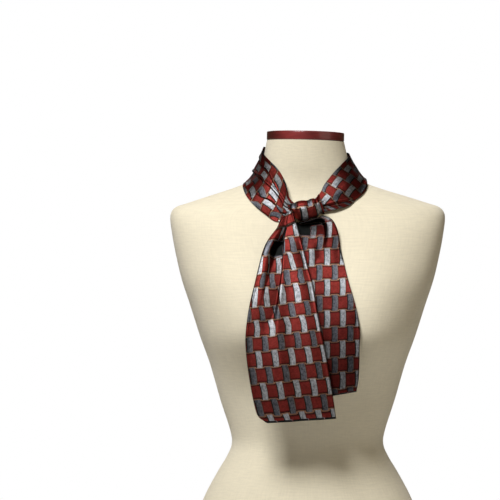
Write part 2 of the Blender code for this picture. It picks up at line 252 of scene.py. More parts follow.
FRONT_TAIL_FOLD = (
    # across the cloth, across the tail when folded, share of the valley
    (0.00, 0.000, -0.10),
    (0.08, 0.090, 0.06),
    (0.15, 0.185, 0.00),
    (0.20, 0.255, -0.32),
    (0.25, 0.345, -0.75),
    (0.30, 0.450, -1.00),
    (0.34, 0.500, -0.95),
    (0.38, 0.515, -0.50),
    (0.42, 0.515, 0.03),
    (0.50, 0.580, 0.09),
    (0.67, 0.710, 0.07),
    (0.84, 0.850, -0.01),
    (1.00, 1.000, -0.13),
)
FRONT_TAIL_FOLDED = (
    # along the tail, how far it is folded
    (0.00, 0.00),
    (0.07, 0.40),
    (0.14, 0.80),
    (0.21, 0.96),
    (0.29, 1.00),
    (0.36, 0.72),
    (0.43, 0.41),
    (0.50, 0.25),
    (0.58, 0.12),
    (0.65, 0.04),
    (1.00, 0.03),
)
VALLEY_DEEP = 20.0
ROW_SAG = 0.30  # rows of the print that the deep of the valley hangs back by
SHELF = (0.150, -0.050, 0.012, 3.0)  # edge at the left, more at the right, soft, high

BACK_TAIL = (
    # left x, left y, left z, right x, right y, right z, ripple
    (-15, -84, 670.8, 21, -85, 682.9, 0),
    (-18, -86, 667, 31.5, -90, 679, 0.5),
    (-20, -89, 661, 38.5, -96, 670.5, 1),
    (-21, -95, 650, 43.5, -101, 655, 2),
    (-22, -102, 632, 46, -107, 636, 2),
    (-24, -111, 606, 51.5, -117, 609, 2),
    (-26, -120, 582, 57, -128, 586, 2),
    (-32, -129, 556, 64.5, -139, 560, 2),
    (-37, -136, 531, 70, -146, 536, 2),
    (-41, -140, 506, 73, -150, 512, 2),
    (-42, -141, 481, 72, -152, 488, 2.5),
    (-43, -143, 455, 71.5, -152, 463, 3),
    (-43, -143, 430, 70.5, -150.5, 444, 3),
    (-43, -142, 408, 67.5, -149, 427, 3),
)

RIPPLES = (
    # place across, half width, depth against the row's ripple
    (0.10, 0.07, -0.7),
    (0.37, 0.09, 0.8),
    (0.58, 0.08, -0.6),
    (0.80, 0.09, 0.9),
)

TAIL_LENGTH = 300.0
FRONT_TAIL_CELLS = (96, 176)  # across the tail, and along it
BACK_TAIL_CELLS = (80, 144)
HEM_HIGH = 1.0
HEM_HALF = 1.9
HEM_BACK = 2.4  # how far the very edge rolls back
HEM_LINES = (0.0, 2.3, 4.6, 5.1)  # the last lines of a tail's grid, from its end
CORNER = (0.10, 0.055, 7.0, 2.0)  # share across and along, lift, shift inwards

# Lip at the top of the back tail, and the hollow that it turns forwards over
LIP_RIDGE = (2.0, 2.5, 5.0)  # height, distance from the edge, half width
LIP_ENDS = (0.03, 0.12)  # along the tail: from, over
HOLLOW_DEEP = 12.0
HOLLOW_WALL = (9.5, 13.0)  # distance from the edge: from, over
HOLLOW_ENDS = (0.10, 0.08, 0.15)  # along the tail: from, more away from the edge, over
HOLLOW_END_MOVES = (12.0, 14.0)  # distance from the edge: from, over

KNOT_BARREL = (
    # x, middle y, middle z, radius of the band, lean of the ring to the left
    (-28.5, -86, 690, 5.5, 0.00),
    (-26.5, -87, 690, 9.5, 0.00),
    (-21.5, -88, 689.5, 13.2, 0.05),
    (-13, -88.5, 689, 15.2, 0.10),
    (-3, -88.5, 690.5, 15, 0.18),
    (6, -88, 693, 14.3, 0.24),
    (13.5, -87, 696.5, 13, 0.30),
    (19, -86, 699.5, 14.6, 0.30),
)
KNOT_TURN_FROM = math.radians(-118.0)
KNOT_TURN_TO = math.radians(150.0)
KNOT_CREASES = (
    # share of the barrel's length, half width, depth
    (0.30, 0.045, 1.8),
    (0.62, 0.045, 1.3),
    (0.86, 0.035, 2.2),
)
KNOT_LEAST_RADIUS = 0.6
KNOT_BAND_CELLS = (64, 72)
KNOT_ROLL_CELLS = (32, 120)
KNOT_ROLL_ENDS = (0.10, 0.88)
KNOT_ROLL_TURNS = 2.2
KNOT_ROLL_GAP = 0.8  # between the band's wall and the roll's last turn
KNOT_ROLL_DEEP = 9.0  # how far in the roll begins

# Cut and print

CLOTH_WIDTH = 115.0
PITCH = 23.6  # across the cloth, one bar and one block
ROW = 23.3  # along the cloth, one row of the weave
BAR_HALF = 0.162  # shares of the pitch
BAR_REACH = 0.525  # shares of the row, from its middle
BLOCK_FROM = 0.215
BLOCK_REACH = 0.385
BLOCK_RIM = 0.045  # darker rim of a block
LEFT_LINE = 0.065  # lines round a bar
RIGHT_LINE = 0.022
END_LINE = 0.050
SEAM_LINE = 0.052  # half the tan line between two rows
BOW = (0.03, 4.0, 0.4)  # a bar's curve: share * (4.0 * distance squared - 0.4)
WANDER = 0.05  # how far the print strays from true
EDGE_SOFT = 0.012
ROW_SOFT = 0.014
# Rows where the print goes over to painted shade: the neck's right side, the hollow below the
# knot, and the front tail's top rows under the knot
NECK_PAINTED_SHADE_ROWS = (12.0, 6.0)  # middle row of the change, and its half length
HOLLOW_PAINTED_SHADE_ROWS = (30.35, 0.7)
KNOT_PAINTED_SHADE_ROWS = (13.50, 0.1)

# Rows of the print along each piece
NECK_ROWS = (
    # along the loop, row
    (0.0000, -1.7),
    (0.0740, 0.05),
    (0.1215, 1.05),
    (0.1770, 2.0),
    (0.2280, 3.0),
    (0.2700, 4.0),
    (0.3100, 5.0),
    (0.7550, 19.0),
    (0.8075, 20.0),
    (0.8515, 21.0),
    (0.9075, 22.0),
    (0.9505, 23.0),
    (1.0000, 24.2),
)
NECK_SKEW = (0.27, 0.040, 0.120)  # place across that stays, slope and bend of a row
NECK_SKEW_STARTS = (-0.036, 0.24)  # along the loop: from, over
NECK_SKEW_ENDS = (0.30, 0.15)
NECK_GATHER_ENDS = (0.10, 0.06)  # spare width is gathered near the knot: from, over
NECK_SLIP_GROWS = (21.0 / 52.0, 0.5)  # share of the path across: from, over
NECK_SLIP = (
    # along the loop, how far the print is moved outwards past the main fold
    (0.000, -4.0),
    (0.058, -3.0),
    (0.075, 0.5),
    (0.092, 6.5),
    (0.105, 9.0),
    (0.150, 9.0),
    (0.180, 4.5),
    (0.210, 3.0),
    (0.250, 0.0),
    (1.000, 0.0),
)
NECK_HEM_TO_BAR = (8.3, 13.5)  # at the first end of the loop, and at its last
FRONT_TAIL_ROWS = (
    # along the tail, row at its left edge, row at its right edge
    (0.0000, 14.90, 14.70),
    (0.0450, 14.50, 14.15),
    (0.1000, 13.95, 13.50),
    (0.1500, 13.50, 13.02),
    (0.2050, 12.75, 12.50),
    (0.2280, 12.48, 12.30),
    (0.2970, 11.58, 11.56),
    (0.3625, 10.50, 10.44),
    (0.4292, 9.50, 9.50),
    (0.5042, 8.72, 8.55),
    (0.5708, 7.69, 7.56),
    (0.6333, 6.64, 6.54),
    (0.7000, 5.63, 5.55),
    (0.7667, 4.63, 4.56),
    (0.8292, 3.62, 3.56),
    (0.8875, 2.62, 2.56),
    (0.9417, 1.66, 1.56),
    (1.0000, 1.08, 0.96),
)
# Where a column is held at 1.305 or 1.805 across a span, the valley floor under the knot shows
# the dark outline's colour: painted shade
COLUMNS_UNDER_KNOT = (
    (0.0, 0.35), (0.32, 0.84), (0.40, 1.14), (0.41, 1.805), (0.483, 1.805), (0.492, 3.30),
    (0.80, 3.84), (1.0, 4.16))
COLUMNS_AT_KNOT = ((0.0, 0.78), (0.8, 1.20), (1.0, 1.31))
FRONT_TAIL_COLUMNS = (
    # row, then places across the tail, each with its column
    (0.00, ((0.0, -0.78), (0.5, 1.64), (0.8, 3.07), (1.0, 4.09))),
    (7.00, ((0.0, -0.78), (0.3, 0.72), (0.6, 2.13), (0.8, 3.07), (1.0, 4.11))),
    (8.00, ((0.0, -0.57), (0.3, 0.98), (0.6, 2.35), (0.8, 3.20), (1.0, 4.14))),
    (9.00, (
        (0.0, -0.24), (0.10, 0.16), (0.20, 0.84), (0.28, 1.16), (0.446, 1.84),
        (0.545, 2.16), (0.686, 2.84), (0.777, 3.16), (0.917, 3.84), (1.0, 4.20))),
    (10.00, (
        (0.0, -0.21), (0.09, 0.34), (0.18, 0.66), (0.26, 1.34), (0.335, 1.66),
        (0.525, 2.34), (0.625, 2.66), (0.77, 3.34), (0.865, 3.66), (1.0, 4.15))),
    (10.54, (
        (0.0, -0.22), (0.09, 0.16), (0.20, 0.79), (0.22, 0.81), (0.23, 1.25), (0.385, 1.84),
        (0.475, 2.16), (0.69, 2.84), (0.775, 3.16), (0.925, 3.84), (1.0, 4.10))),
    (11.00, (
        (0.0, -0.18), (0.075, 0.16), (0.19, 0.79), (0.22, 0.81), (0.23, 1.25), (0.375, 1.84),
        (0.47, 2.16), (0.645, 2.84), (0.74, 3.16), (0.925, 3.84), (1.0, 4.10))),
    (11.47, (
        (0.0, -0.10), (0.05, 0.16), (0.17, 0.79), (0.19, 0.81), (0.20, 1.25), (0.36, 1.84),
        (0.44, 2.16), (0.62, 2.84), (0.71, 3.16), (0.91, 3.84), (1.0, 4.15))),
    (11.54, (
        (0.0, 0.20), (0.165, 0.66), (0.175, 1.305), (0.50, 1.305), (0.51, 2.30),
        (0.60, 3.05), (1.0, 4.09))),
    (12.00, (
        (0.0, 0.28), (0.17, 0.67), (0.18, 1.305), (0.50, 1.305), (0.51, 2.33),
        (0.60, 3.11), (1.0, 4.13))),
    (12.47, (
        (0.0, 0.33), (0.20, 0.67), (0.21, 1.305), (0.495, 1.305), (0.507, 2.60),
        (0.58, 3.12), (1.0, 4.28))),
    (12.53, (
        (0.0, 0.33), (0.34, 0.74), (0.35, 1.805), (0.495, 1.805), (0.507, 3.22),
        (0.84, 3.84), (1.0, 4.16))),
    (13.00, COLUMNS_UNDER_KNOT),
    (13.47, COLUMNS_UNDER_KNOT),
    (13.53, COLUMNS_AT_KNOT),
    (15.00, COLUMNS_AT_KNOT),
)
BACK_TAIL_ROWS = (
    # along the tail, row
    (0.0000, 13.00),
    (0.1250, 11.50),
    (0.2417, 10.54),
    (0.3125, 9.46),
    (0.3792, 8.50),
    (0.4500, 7.50),
    (0.5167, 6.50),
    (0.5833, 5.50),
    (0.6583, 4.50),
    (0.7250, 3.50),
    (0.7917, 2.58),
    (0.8583, 1.58),
    (0.9500, 0.58),
    (1.0000, 0.00),
)
BACK_TAIL_LINE = (
    # row, x of the line of bars in column 0
    (0.0, 25.3),
    (4.0, 25.3),
    (7.0, 26.3),
    (9.5, 26.6),
    (11.0, 29.8),
    (13.0, 32.0),
)
BACK_TAIL_PITCH = 22.4
OUTLINE = -0.195  # column of the dark outline, from the bar beside it

# The lip shows a silver bar along its edge, and the hollow below the knot is charted with
# painted shadow: the dark outline's colour, or rows of darker print
LIP_WIDTH = (6.0, 3.0)  # distance from the edge: from, over
LIP_PRINT_ENDS = (0.09, 0.04)  # along the tail: from, over
LIP_BAR = (2.0, 0.6)  # column of the bar, and how far in its middle lies
LIP_ROWS = (13.0, 12.3, 0.3)  # row of the bar, row beside it, share of its rows
HOLLOW_PAINTED_SHADOW = (
    # row from which the dark outline's colour is shown as painted shadow, x of its right end
    (10.58, 3.0),
    (11.25, 24.0),
)
# An even number of rows moved on leaves the print as it is, and reaches the rows of painted
# shade
HOLLOW_PAINTED_SHADE = (10.58, 24.6, 20.0)  # row from, x of its right end, rows moved on
KNOT_COLUMNS = (
    # share of the barrel's length, column
    (0.000, -0.90),
    (0.230, -0.50),
    (0.465, -0.165),
    (0.570, 0.165),
    (0.670, 0.50),
    (0.842, 1.00),
    (1.000, 1.35),
)
KNOT_ROW = (1.0, -0.45, 1.55)  # a row, the turn of its middle, turn of one row
KNOT_ROLL_CHART = (34.0, 40.0, 90.0)  # across from, over, and along


def clamp(value, low=0.0, high=1.0):
    return max(low, min(high, value))


def smooth_step(value):
    value = clamp(value)
    return value * value * (3.0 - 2.0 * value)


def rising(value, start, length):
    """From 0 at the start to 1, a length further on."""
    return smooth_step((value - start) / length)


def falling(value, start, length):
    return 1.0 - rising(value, start, length)


def bell(distance, half_width):
    return math.exp(-0.5 * (distance / half_width) ** 2)


def through(before, start, end, after, part):
    """Value on the Catmull-Rom curve between start and end."""
    slope_in = (end - before) / 2.0
    slope_out = (after - start) / 2.0
    rise = end - start
    square = 3.0 * rise - 2.0 * slope_in - slope_out
    cube = slope_in + slope_out - 2.0 * rise
    return start + part * (slope_in + part * (square + part * cube))


def row_at(table, position):
    """Row of a table at a position from 0, its first row, to 1, its last."""
    last = len(table) - 1
    place = clamp(position) * last
    index = min(int(place), last - 1)
    rows = [table[clamp(index + step, 0, last)] for step in (-1, 0, 1, 2)]
    return [through(*column, place - index) for column in zip(*rows)]


def value_at(table, key, column):
    """Value in a column of a table whose first column rises, at a key."""
    for index in range(len(table) - 1):
        if key <= table[index + 1][0] or index == len(table) - 2:
            span = table[index + 1][0] - table[index][0]
            part = clamp((key - table[index][0]) / span)
            return row_at(table, (index + part) / (len(table) - 1))[column]


def along_line(table, key, column=1):
    """Value in a column of a table whose first column rises, on straight lines."""
    for low, high in zip(table, table[1:]):
        if key <= high[0]:
            break
    part = clamp((key - low[0]) / (high[0] - low[0]))
    return low[column] + (high[column] - low[column]) * part


def form_lookup():
    """Sections of the form at every whole millimetre of height."""
    steps = 4 * int(NECK_TOP)
    rows = [row_at(FORM_SECTIONS, step / steps) for step in range(steps + 1)]
    found = []
    index = 0
    for height in range(int(NECK_TOP) + 1):
        while rows[index + 1][0] < height:
            index += 1
        found.append(rows[index][1:])
    return found


FORM_BY_HEIGHT = form_lookup()


def form_section(height):
    """Half width, front depth, back depth and squareness at a height."""
    height = clamp(height, 0.0, len(FORM_BY_HEIGHT) - 1.001)
    index = int(height)
    part = height - index
    low = FORM_BY_HEIGHT[index]
    high = FORM_BY_HEIGHT[index + 1]
    return [a + (b - a) * part for a, b in zip(low, high)]


def bust(x, height):
    """Forward swell of the two lobes at a place on the front."""
    spread = BUST_ABOVE if height > BUST_HEIGHT else BUST_BELOW
    lobes = bell(x + BUST_SIDE, BUST_SPREAD) + bell(x - BUST_SIDE, BUST_SPREAD)
    return BUST_DEPTH * bell(height - BUST_HEIGHT, spread) * lobes


def neck_lean(height):
    """Share of the neck's small shift and tilt at a height."""
    return rising(height, NECK_LEAN_FROM, NECK_TOP - NECK_LEAN_FROM)


def form_point(row, turn):
    """Point on the form: turn runs once round from the back."""
    height, width, front, back, power = row
    across = math.sin(turn)
    along = math.cos(turn)
    x = width * math.copysign(abs(across) ** (2.0 / power), across)
    depth = back if along > 0.0 else front
    y = depth * math.copysign(abs(along) ** (2.0 / power), along)
    if along < 0.0:
        y -= bust(x, height) * smooth_step(-2.0 * along)
    lean = neck_lean(height)
    return Vector((x + NECK_SHIFT * lean, y, height - x * NECK_TILT * lean))


def form_measure(point):
    """Distance outside the form as a share of its size there."""
    lean = neck_lean(point.z)
    x = point.x - NECK_SHIFT * lean
    height = point.z + x * NECK_TILT * lean
    width, front, back, power = form_section(height)
    if point.y < 0.0:
        y = min(point.y + bust(x, height), 0.0) / front
    else:
        y = point.y / back
    return (abs(x / width) ** power + abs(y) ** power) ** (1.0 / power) - 1.0


def off_form(point, lift):
    """The point, moved out until it is at least a lift from the form."""
    point = Vector(point)
    probes = [Vector(axis) * SLOPE_PROBE for axis in ((1, 0, 0), (0, 1, 0), (0, 0, 1))]
    for _ in range(3):
        here = form_measure(point)
        rises = [form_measure(point + probe) - here for probe in probes]
        slope = Vector(rises) / SLOPE_PROBE
        steep = slope.length
        if steep < 1e-6 or here / steep >= lift:
            break
        point += slope / steep * (lift - here / steep)
    return point


# Materials


class Finish:
    """A material and the few steps that its nodes are built with."""

    def __init__(self, name, **sockets):
        self.material = bpy.data.materials.new(name)
        self.material.use_nodes = True
        self.tree = self.material.node_tree
        self.shader = self.tree.nodes["Principled BSDF"]
        for socket, value in sockets.items():
            self.give(socket.replace("_", " "), value)

    def feed(self, socket, value):
        if isinstance(value, bpy.types.NodeSocket):
            self.tree.links.new(value, socket)
        else:
            socket.default_value = value

    def node(self, kind, inputs=None, **settings):
        """Outputs of a new node, with these inputs fed by their names or numbers."""
        made = self.tree.nodes.new(kind)
        for key, value in settings.items():
            setattr(made, key, value)
        for key, value in (inputs or {}).items():
            self.feed(made.inputs[key], value)
        return made.outputs

    def math(self, operation, *values):
        return self.node("ShaderNodeMath", dict(enumerate(values)), operation=operation)[0]

    def add(self, *values):
        total = values[0]
        for value in values[1:]:
            total = self.math("ADD", total, value)
        return total

    def times(self, first, second):
        return self.math("MULTIPLY", first, second)

    def under(self, value, edge, soft):
        """1 where the value is under the edge, and 0 above it."""
        return self.node("ShaderNodeMapRange", {
            "Value": value, "From Min": edge - soft, "From Max": edge + soft,
            "To Min": 1.0, "To Max": 0.0}, interpolation_type="SMOOTHSTEP")["Result"]

    def span(self, value, low, high):
        """The value, from 0 to 1, taken to low and high."""
        return self.node("ShaderNodeMapRange", {
            "Value": value, "To Min": low, "To Max": high})["Result"]

    def sharper(self, value, contrast):
        """The value with more contrast about its middle, kept within 0 and 1."""
        return self.node("ShaderNodeMapRange", {
            "Value": value, "From Min": 0.5 - 0.5 / contrast,
            "From Max": 0.5 + 0.5 / contrast})["Result"]

    def mix(self, share, low, high):
        return self.node("ShaderNodeMix", {0: share, 6: low, 7: high}, data_type="RGBA")[2]

    def shade(self, colour, share):
        """The colour, made darker or lighter by a share."""
        if not isinstance(colour, bpy.types.NodeSocket):
            colour = colour[:3]
        return self.node(
            "ShaderNodeVectorMath", {0: colour, "Scale": share}, operation="SCALE")[0]

    def stretched(self, vector, scale):
        return self.node("ShaderNodeMapping", {"Vector": vector, "Scale": scale})[0]

    def noise(self, vector, scale, detail=2.0, roughness=0.5):
        return self.node("ShaderNodeTexNoise", {
            "Vector": vector, "Scale": scale, "Detail": detail, "Roughness": roughness})[0]

    def patches(self, vector, scale, detail, roughness, contrast):
        """Noise from 0 to 1 with so much contrast."""
        return self.sharper(self.noise(vector, scale, detail, roughness), contrast)

    def object_place(self):
        return self.node("ShaderNodeTexCoord")["Object"]

    def parts(self, vector):
        return self.node("ShaderNodeSeparateXYZ", {0: vector})

    def cloth_place(self):
        """UV in metres of cloth, whole and as its two parts."""
        vector = self.node("ShaderNodeUVMap", uv_map="UVMap")[0]
        across, along, _ = self.parts(vector)
        return vector, across, along

    def give(self, socket, value):
        self.feed(self.shader.inputs[socket], value)

    def bump(self, height, distance, strength):
        self.give("Normal", self.node("ShaderNodeBump", {
            "Height": height, "Distance": distance, "Strength": strength})[0])


def rgb(red, green, blue):
    return (red, green, blue, 1.0)


GROUND = rgb(0.030, 0.008, 0.009)
RED = rgb(0.190, 0.026, 0.021)
SILVER = rgb(0.345, 0.350, 0.360)
SLATE = rgb(0.118, 0.118, 0.132)
TAN = rgb(0.270, 0.140, 0.084)
# Dark outline beside a bar, part of the print; also charted over the valley, the hollow and the
# hem as painted shade
BAR_SHADE = rgb(0.011, 0.012, 0.011)
LINEN_CREAM = rgb(0.83, 0.748, 0.550)
WOOD_DARK = rgb(0.075, 0.010, 0.010)
WOOD_RED = rgb(0.27, 0.032, 0.030)

# Patches of the silk: scale, detail, roughness and contrast
MOTTLE = (330.0, 3.0, 0.75, 2.8)
CLOUD = (150.0, 2.0, 0.5, 2.0)
TWILL = (900.0, 2.0, 0.5, 2.2)

# Shares of a colour, or a roughness, where a patch is 0 and where it is 1
RED_TWILL = (0.72, 1.28)
RED_CLOUD = (0.78, 1.22)
RIM_DEEP = (0.55, 1.0)
SEAM_MOTTLE = (0.70, 1.15)
LINE_MOTTLE = (0.80, 1.10)
BAR_MOTTLE = (0.40, 1.46)
BAR_CLOUD = (0.84, 1.12)
SILK_ROUGH = (0.41, 0.49)
LINEN_YARN = (0.90, 1.06)
WOOD_PAINTED_HIGHLIGHT = (0.84, 1.36)
WOOD_PAINTED_SHADE = (1.0, 0.45)
WOOD_ROUGH = (0.26, 0.42)


def thread(finish, place, width):
    """Waves, from 0 to 1, as wide as one thread."""
    wave = finish.math("SINE", finish.times(place, 2.0 * math.pi / (width * MM)))
    return finish.times(finish.add(wave, 1.0), 0.5)


def basket_rows(finish, pitch, row):
    """Rows of silver and of slate bars: side and distance from a bar's middle, distance
    from the row's middle, and the bar's colour.
    """
    share, square, less = BOW
    rows = []
    for shift, bar_colour in ((0.0, SILVER), (1.0, SLATE)):
        halved = finish.math("FRACT", finish.times(finish.add(row, shift), 0.5))
        down = finish.times(finish.math("SUBTRACT", halved, 0.5), 2.0)
        arch = finish.times(finish.math("SUBTRACT", finish.times(
            finish.times(down, down), square), less), share)
        column = finish.math("FRACT", finish.add(pitch, 0.5 * shift, arch, 0.5))
        side = finish.math("SUBTRACT", column, 0.5)
        rows.append((
            side, finish.math("ABSOLUTE", side), finish.math("ABSOLUTE", down), bar_colour))
    return rows


def with_blocks(finish, colour, red, rows):
    """The colour, with a red block between each two bars."""
    for _, off, far, _ in rows:
        block = finish.times(
            finish.math("SUBTRACT", 1.0, finish.under(off, BLOCK_FROM, EDGE_SOFT)),
            finish.under(far, BLOCK_REACH, ROW_SOFT))
        deep = finish.span(finish.under(far, BLOCK_REACH - BLOCK_RIM, 0.03), *RIM_DEEP)
        colour = finish.mix(block, colour, finish.shade(red, deep))
    return colour


def with_lines(finish, colour, mottle, rows):
    """The colour, with each bar's tan lines and the dark outline at its left."""
    for side, _, far, _ in rows:
        other_side = finish.times(side, -1.0)
        left = finish.times(
            finish.under(other_side, BAR_HALF + LEFT_LINE, EDGE_SOFT),
            finish.under(side, 0.0, 0.01))
        right = finish.times(
            finish.under(side, BAR_HALF + RIGHT_LINE, EDGE_SOFT),
            finish.under(other_side, 0.0, 0.01))
        ends = finish.under(far, BAR_REACH + END_LINE, EDGE_SOFT)
        beside = finish.times(left, finish.under(far, BAR_REACH - 0.02, EDGE_SOFT))
        colour = finish.mix(
            finish.times(finish.add(left, right), ends), colour,
            finish.shade(TAN, finish.span(mottle, *LINE_MOTTLE)))
        colour = finish.mix(beside, colour, BAR_SHADE)
    return colour


def with_bars(finish, colour, mottle, cloud, rows):
    """The colour, with the bars, a little lighter towards their right side."""
    for side, off, far, bar_colour in rows:
        bar = finish.times(
            finish.under(off, BAR_HALF, EDGE_SOFT), finish.under(far, BAR_REACH, EDGE_SOFT))
        lit = finish.times(
            finish.add(finish.span(mottle, *BAR_MOTTLE), finish.times(side, 0.5)),
            finish.span(cloud, *BAR_CLOUD))
        colour = finish.mix(bar, colour, finish.shade(bar_colour, lit))
    return colour


def silk_finish(name, strength, painted_shade_strength, painted_shade_rows):
    """Basket print: rows of silver and of slate bars over red blocks, outlined in tan.

    The strength scales the print's colour, and past the painted shade rows it goes over to its
    last strength: painted shade wherever the strength is under 1.
    """
    finish = Finish(
        name, Metallic=1.0, Roughness=0.45, Specular_Tint=(0.35, 0.35, 0.35, 1.0))
    place, across, along = finish.cloth_place()
    stray = finish.times(
        finish.math("SUBTRACT", finish.noise(place, 60.0), 0.5), WANDER)
    pitch = finish.add(finish.times(across, 1.0 / (PITCH * MM)), stray)
    row = finish.add(finish.times(along, 1.0 / (ROW * MM)), stray)
    mottle = finish.patches(finish.stretched(place, (1.0, 0.7, 1.0)), *MOTTLE)
    cloud = finish.patches(place, *CLOUD)
    weave = finish.patches(finish.stretched(place, (0.4, 1.0, 1.0)), *TWILL)
    red = finish.shade(RED, finish.times(
        finish.span(weave, *RED_TWILL), finish.span(cloud, *RED_CLOUD)))
    seam = finish.math("ABSOLUTE", finish.math(
        "SUBTRACT", finish.math("FRACT", row), 0.5))
    colour = finish.mix(
        finish.under(seam, SEAM_LINE, ROW_SOFT), GROUND,
        finish.shade(TAN, finish.span(mottle, *SEAM_MOTTLE)))
    rows = basket_rows(finish, pitch, row)
    colour = with_blocks(finish, colour, red, rows)
    colour = with_lines(finish, colour, mottle, rows)
    colour = with_bars(finish, colour, mottle, cloud, rows)
    # Painted shade: the print darkened to the strength, and past the painted shade rows to the
    # last strength
    finish.give("Base Color", finish.shade(
        colour, finish.span(finish.under(row, *painted_shade_rows), painted_shade_strength, strength)))
    finish.give("Roughness", finish.span(mottle, *SILK_ROUGH))
    twill = finish.times(
        thread(finish, finish.add(across, along), 0.7), thread(finish, along, 0.45))
    finish.bump(
        finish.add(finish.times(twill, 0.5), finish.times(mottle, 0.6)), 0.00018, 0.7)
    return finish.material


def linen_finish():
    """Cream linen cover, finely woven, with thicker threads here and there."""
    finish = Finish(
        "natural_linen", Roughness=0.86, Sheen_Weight=0.20, Sheen_Roughness=0.5,
        Specular_IOR_Level=0.25)
    place, across, along = finish.cloth_place()
    slub = finish.noise(finish.stretched(place, (0.10, 1.0, 1.0)), 420.0, 3.0, 0.6)
    cross_slub = finish.noise(finish.stretched(place, (1.0, 0.12, 1.0)), 380.0, 3.0, 0.6)
    cloud = finish.noise(finish.object_place(), 9.0, 3.0, 0.5)
    yarn = finish.add(finish.times(slub, 0.6), finish.times(cross_slub, 0.4))
    tone = finish.add(
        finish.span(finish.sharper(yarn, 2.2), *LINEN_YARN), finish.times(cloud, 0.05))
    finish.give("Base Color", finish.shade(LINEN_CREAM, tone))
    weave = finish.add(
        finish.times(thread(finish, across, 0.8), 0.25),
        finish.times(thread(finish, along, 0.8), 0.25), yarn)
    finish.bump(weave, 0.0005, 0.6)
    return finish.material


def wood_finish():
    """Dark red stained wood under a clear gloss coat, with a painted highlight band left of its
    middle and painted shade towards its left end.
    """
    finish = Finish(
        "stained_wood", Roughness=0.34, Coat_Weight=0.6, Coat_Roughness=0.12,
        Specular_IOR_Level=0.5)
    place = finish.object_place()
    x = finish.parts(place)[0]
    middle, half_width = [size * MM for size in CAP_PAINTED_HIGHLIGHT]
    painted_highlight = finish.under(
        finish.math("ABSOLUTE", finish.math("SUBTRACT", x, middle)), half_width, half_width)
    painted_shade = finish.under(x, *[size * MM for size in CAP_PAINTED_SHADE])
    painted_light = finish.times(
        finish.span(painted_highlight, *WOOD_PAINTED_HIGHLIGHT), finish.span(painted_shade, *WOOD_PAINTED_SHADE))
    grain = finish.noise(finish.stretched(place, (1.0, 1.0, 9.0)), 60.0, 4.0, 0.6)
    pore = finish.noise(finish.stretched(place, (1.0, 1.0, 12.0)), 420.0, 2.0, 0.5)
    finish.give("Base Color", finish.shade(finish.mix(grain, WOOD_DARK, WOOD_RED), painted_light))
    finish.give("Roughness", finish.span(pore, *WOOD_ROUGH))
    finish.bump(pore, 0.0001, 0.4)
    return finish.material


# On the printed silk, the front tail's top rows under the knot are darkened as painted shade
SILK = silk_finish("printed_silk", 1.0, 0.66, KNOT_PAINTED_SHADE_ROWS)
# The back tail's print is darkened overall as painted shade, and darker still in the hollow
# below the knot
SILK_BACK_PAINTED_SHADE = silk_finish("silk_back_painted_shade", 0.52, 0.14, HOLLOW_PAINTED_SHADE_ROWS)
# The neck stretch's print is darkened as painted shade, most on its right side, away from the
# key light
SILK_NECK_PAINTED_SHADE = silk_finish("silk_neck_painted_shade", 0.84, 0.66, NECK_PAINTED_SHADE_ROWS)
LINEN = linen_finish()
WOOD = wood_finish()

# Pieces


def add_object(name, data):
    made = bpy.data.objects.new(name, data)
    bpy.context.scene.collection.objects.link(made)
    return made


def add_piece(name, shape, finish, replaces, smooth=60.0):
    """The shape as a piece of the object, standing for the solids it replaces."""
    mesh = bpy.data.meshes.new(name)
    shape.to_mesh(mesh)
    shape.free()
    made = add_object(name, mesh)
    mesh.materials.append(finish)
    mesh.shade_smooth()
    mesh.set_sharp_from_angle(angle=math.radians(smooth))
    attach(made, "root")
    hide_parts(*replaces)
    return made


def grid_shape(place, chart, across, along):
    """Grid of cells, put where place(u, v) says, with chart(u, v) as its UV in mm."""
    shape = bmesh.new()
    bmesh.ops.create_grid(shape, x_segments=across, y_segments=along, size=0.5)
    layer = shape.loops.layers.uv.new("UVMap")
    shape.verts.index_update()
    spots = [(corner.co.x + 0.5, corner.co.y + 0.5) for corner in shape.verts]
    for corner in shape.verts:
        corner.co = place(*spots[corner.index]) * MM
    charted = [Vector(chart(*spot)) * MM for spot in spots]
    for face in shape.faces:
        for loop in face.loops:
            loop[layer].uv = charted[loop.vert.index]
    return shape


def cloth(name, place, chart, across, along, replaces, thick=CLOTH_THICK, finish=SILK):
    shape = grid_shape(place, chart, across, along)
    made = add_piece(name, shape, finish, replaces)
    wall = made.modifiers.new("thickness", "SOLIDIFY")
    wall.thickness = thick * MM
    wall.offset = -1.0
    wall.use_even_offset = False
    return made


def build_form():
    def place(u, v):
        return form_point(row_at(FORM_SECTIONS, v), 2.0 * math.pi * u)

    def chart(u, v):
        return LINEN_ROUND * u, row_at(FORM_SECTIONS, v)[0]

    shape = grid_shape(place, chart, *FORM_CELLS)
    bmesh.ops.remove_doubles(shape, verts=shape.verts, dist=0.01 * MM)
    bmesh.ops.holes_fill(shape, edges=shape.edges, sides=0)
    bmesh.ops.recalc_face_normals(shape, faces=shape.faces)
    return add_piece("form_cover", shape, LINEN, ("form_torso",), 50.0)


def build_cap():
    shape = bmesh.new()
    bmesh.ops.create_cone(
        shape, cap_ends=True, segments=CAP_SIDES, radius1=CAP_RADIUS * MM,
        radius2=CAP_RADIUS * MM, depth=CAP_THICK * MM)
    rims = [edge for edge in shape.edges
            if abs(edge.verts[0].co.z - edge.verts[1].co.z) < 0.1 * MM]
    bmesh.ops.bevel(
        shape, geom=rims, offset=CAP_EDGE * MM, offset_type="OFFSET",
        segments=4, profile=0.5, affect="EDGES", material=-1)
    turn = Matrix.Rotation(math.atan(NECK_TILT), 4, "Y")
    move = Matrix.Translation(
        (NECK_SHIFT * MM, 0.0, (NECK_TOP + SEAM_GAP + CAP_THICK / 2.0) * MM))
    bmesh.ops.transform(shape, matrix=move @ turn, verts=shape.verts)
    return add_piece("cap_turning", shape, WOOD, ("neck_cap",), 40.0)


